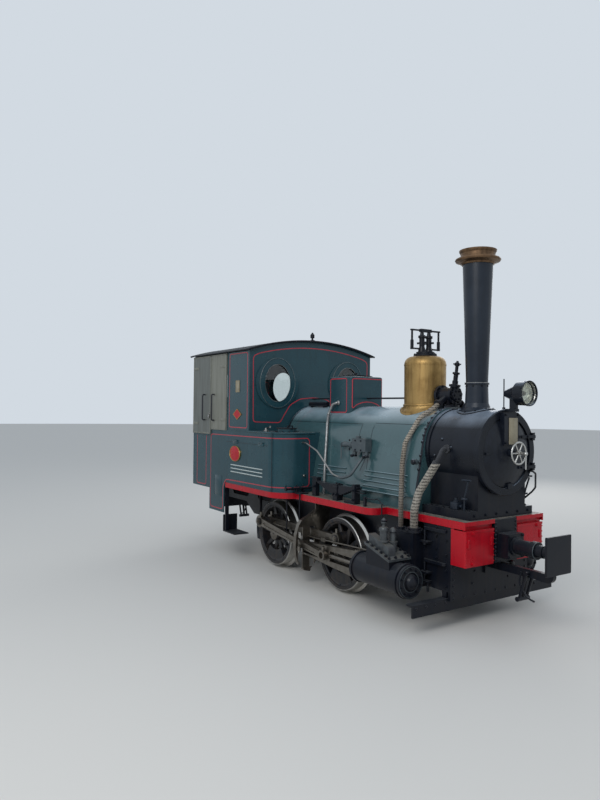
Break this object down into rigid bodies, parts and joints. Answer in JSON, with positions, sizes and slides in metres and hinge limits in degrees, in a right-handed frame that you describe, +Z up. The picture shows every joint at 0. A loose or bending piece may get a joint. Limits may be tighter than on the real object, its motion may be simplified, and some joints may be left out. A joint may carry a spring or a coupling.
{
  "type": "steam locomotive",
  "caption": "Small narrow-gauge steam tank locomotive with tall chimney, brass dome, side tanks, enclosed cab and outside cylinders driving coupled spoked wheels.",
  "frame": {"origin": "centre of the bounding box in plan, at the lowest point of the wheel flanges", "axes": "+X forward along the engine, +Y to its left, +Z up"},
  "size_m": [5.412, 1.9046, 3.217],
  "materials": {
    "frame_black": "semi-gloss black paint on cast iron and steel plate",
    "smokebox_black": "heat-worn black paint on rolled steel",
    "deep_green": "glossy dark green coach paint with thin red lining",
    "signal_red": "glossy red paint",
    "door_grey": "weathered beige-grey paint on sheet steel",
    "worn_plate": "dark paint worn to dull steel on the tread plate",
    "wheel_black": "painted wheel centres with bright steel treads",
    "motion_steel": "oiled machined steel",
    "bright_brass": "polished sheet brass dulled outdoors",
    "aged_brass": "brown oxidised copper alloy",
    "bare_pipe": "drawn pipe dulled outdoors",
    "pipe_lagging": "painted canvas tape wound over pipe lagging",
    "floor_boards": "worn floor boards",
    "clear_glass": "clear flat glass"
  },
  "bodies": {
    "engine": {"main_frame": "frame_black", "axle_boxes": "frame_black", "beams": "frame_black", "red_boxes": "signal_red", "pilot_board": "frame_black", "buffers": "frame_black", "draw_gear": "frame_black", "running_board": "worn_plate", "valances": "signal_red", "boiler_cladding": "deep_green", "firebox": "frame_black", "smokebox": "smokebox_black", "smokebox_saddle": "frame_black", "chimney": "smokebox_black", "chimney_cap": "aged_brass", "steam_dome": "bright_brass", "safety_valves": "frame_black", "regulator_housing": "frame_black", "steam_pipes": "pipe_lagging", "exhaust_pipes": "pipe_lagging", "small_pipes": "bare_pipe", "feed_valves": "frame_black", "boiler_rods": "frame_black", "headlamp": "smokebox_black", "top_box": "deep_green", "side_tanks": "deep_green", "cab_ends": "deep_green", "cab_sides": "deep_green", "cab_roof": "frame_black", "cab_floor": "floor_boards", "backhead": "frame_black", "window_rings": "deep_green", "glass": "clear_glass", "cylinders": "frame_black", "chest_lids": "frame_black", "frame_castings": "frame_black", "slide_bars": "motion_steel", "crossheads": "motion_steel", "platform_gear": "frame_black", "brake_gear": "frame_black", "cab_steps": "frame_black", "whistle": "frame_black"},
    "wheelset_front": {"wheelset_front": "wheel_black"},
    "wheelset_rear": {"wheelset_rear": "wheel_black"},
    "coupling_rod_right": {"coupling_rod_right": "motion_steel"},
    "coupling_rod_left": {"coupling_rod_left": "motion_steel"},
    "main_rod_right": {"main_rod_right": "motion_steel"},
    "main_rod_left": {"main_rod_left": "motion_steel"},
    "smokebox_door": {"smokebox_door": "smokebox_black"},
    "top_box_lid": {"top_box_lid": "frame_black"},
    "tank_lid_right": {"tank_lid_right": "frame_black"},
    "tank_lid_left": {"tank_lid_left": "frame_black"},
    "door_rear_right": {"door_rear_right": "door_grey"},
    "door_rear_left": {"door_rear_left": "door_grey"},
    "door_front_right": {"door_front_right": "door_grey"},
    "door_front_left": {"door_front_left": "door_grey"}
  },
  "joints": [
    {"name": "front_wheels", "type": "hinge", "parent": "engine", "child": "wheelset_front", "pos_m": [0.71, 0, 0.383], "axis": [0, 1, 0], "continuous": true},
    {"name": "rear_wheels", "type": "hinge", "parent": "engine", "child": "wheelset_rear", "pos_m": [-0.515, 0, 0.383], "axis": [0, 1, 0], "continuous": true},
    {"name": "coupling_right", "type": "hinge", "parent": "wheelset_front", "child": "coupling_rod_right", "pos_m": [0.71, -0.66, 0.533], "axis": [0, 1, 0], "continuous": true},
    {"name": "coupling_left", "type": "hinge", "parent": "wheelset_front", "child": "coupling_rod_left", "pos_m": [0.86, 0.66, 0.383], "axis": [0, 1, 0], "continuous": true},
    {"name": "main_right", "type": "hinge", "parent": "wheelset_rear", "child": "main_rod_right", "pos_m": [-0.515, -0.804, 0.533], "axis": [0, 1, 0], "continuous": true},
    {"name": "main_left", "type": "hinge", "parent": "wheelset_rear", "child": "main_rod_left", "pos_m": [-0.365, 0.804, 0.383], "axis": [0, 1, 0], "continuous": true},
    {"name": "smokebox_door", "type": "hinge", "parent": "engine", "child": "smokebox_door", "pos_m": [2.22, 0.333, 1.45], "axis": [0, 0, 1], "range_deg": [0, 110]},
    {"name": "top_box_lid", "type": "hinge", "parent": "engine", "child": "top_box_lid", "pos_m": [-0.038, 0, 2.1586], "axis": [0, -1, 0], "range_deg": [0, 80]},
    {"name": "tank_lid_right", "type": "hinge", "parent": "engine", "child": "tank_lid_right", "pos_m": [-0.38, -0.64, 1.579], "axis": [0, -1, 0], "range_deg": [0, 80]},
    {"name": "tank_lid_left", "type": "hinge", "parent": "engine", "child": "tank_lid_left", "pos_m": [-0.38, 0.64, 1.579], "axis": [0, -1, 0], "range_deg": [0, 80]},
    {"name": "door_rear_right", "type": "hinge", "parent": "engine", "child": "door_rear_right", "pos_m": [-2.147, -0.9, 1.96], "axis": [0, 0, -1], "range_deg": [0, 110]},
    {"name": "door_rear_left", "type": "hinge", "parent": "engine", "child": "door_rear_left", "pos_m": [-2.147, 0.9, 1.96], "axis": [0, 0, 1], "range_deg": [0, 110]},
    {"name": "door_front_right", "type": "hinge", "parent": "engine", "child": "door_front_right", "pos_m": [-1.209, -0.9, 1.99], "axis": [0, 0, 1], "range_deg": [0, 110]},
    {"name": "door_front_left", "type": "hinge", "parent": "engine", "child": "door_front_left", "pos_m": [-1.209, 0.9, 1.99], "axis": [0, 0, -1], "range_deg": [0, 110]}
  ],
  "couplings": [
    {"joint": "rear_wheels", "follows": "front_wheels", "ratio": 1},
    {"joint": "coupling_right", "follows": "front_wheels", "ratio": -1},
    {"joint": "coupling_left", "follows": "front_wheels", "ratio": -1},
    {"joint": "main_right", "follows": "front_wheels", "ratio": -1},
    {"joint": "main_left", "follows": "front_wheels", "ratio": -1}
  ]
}
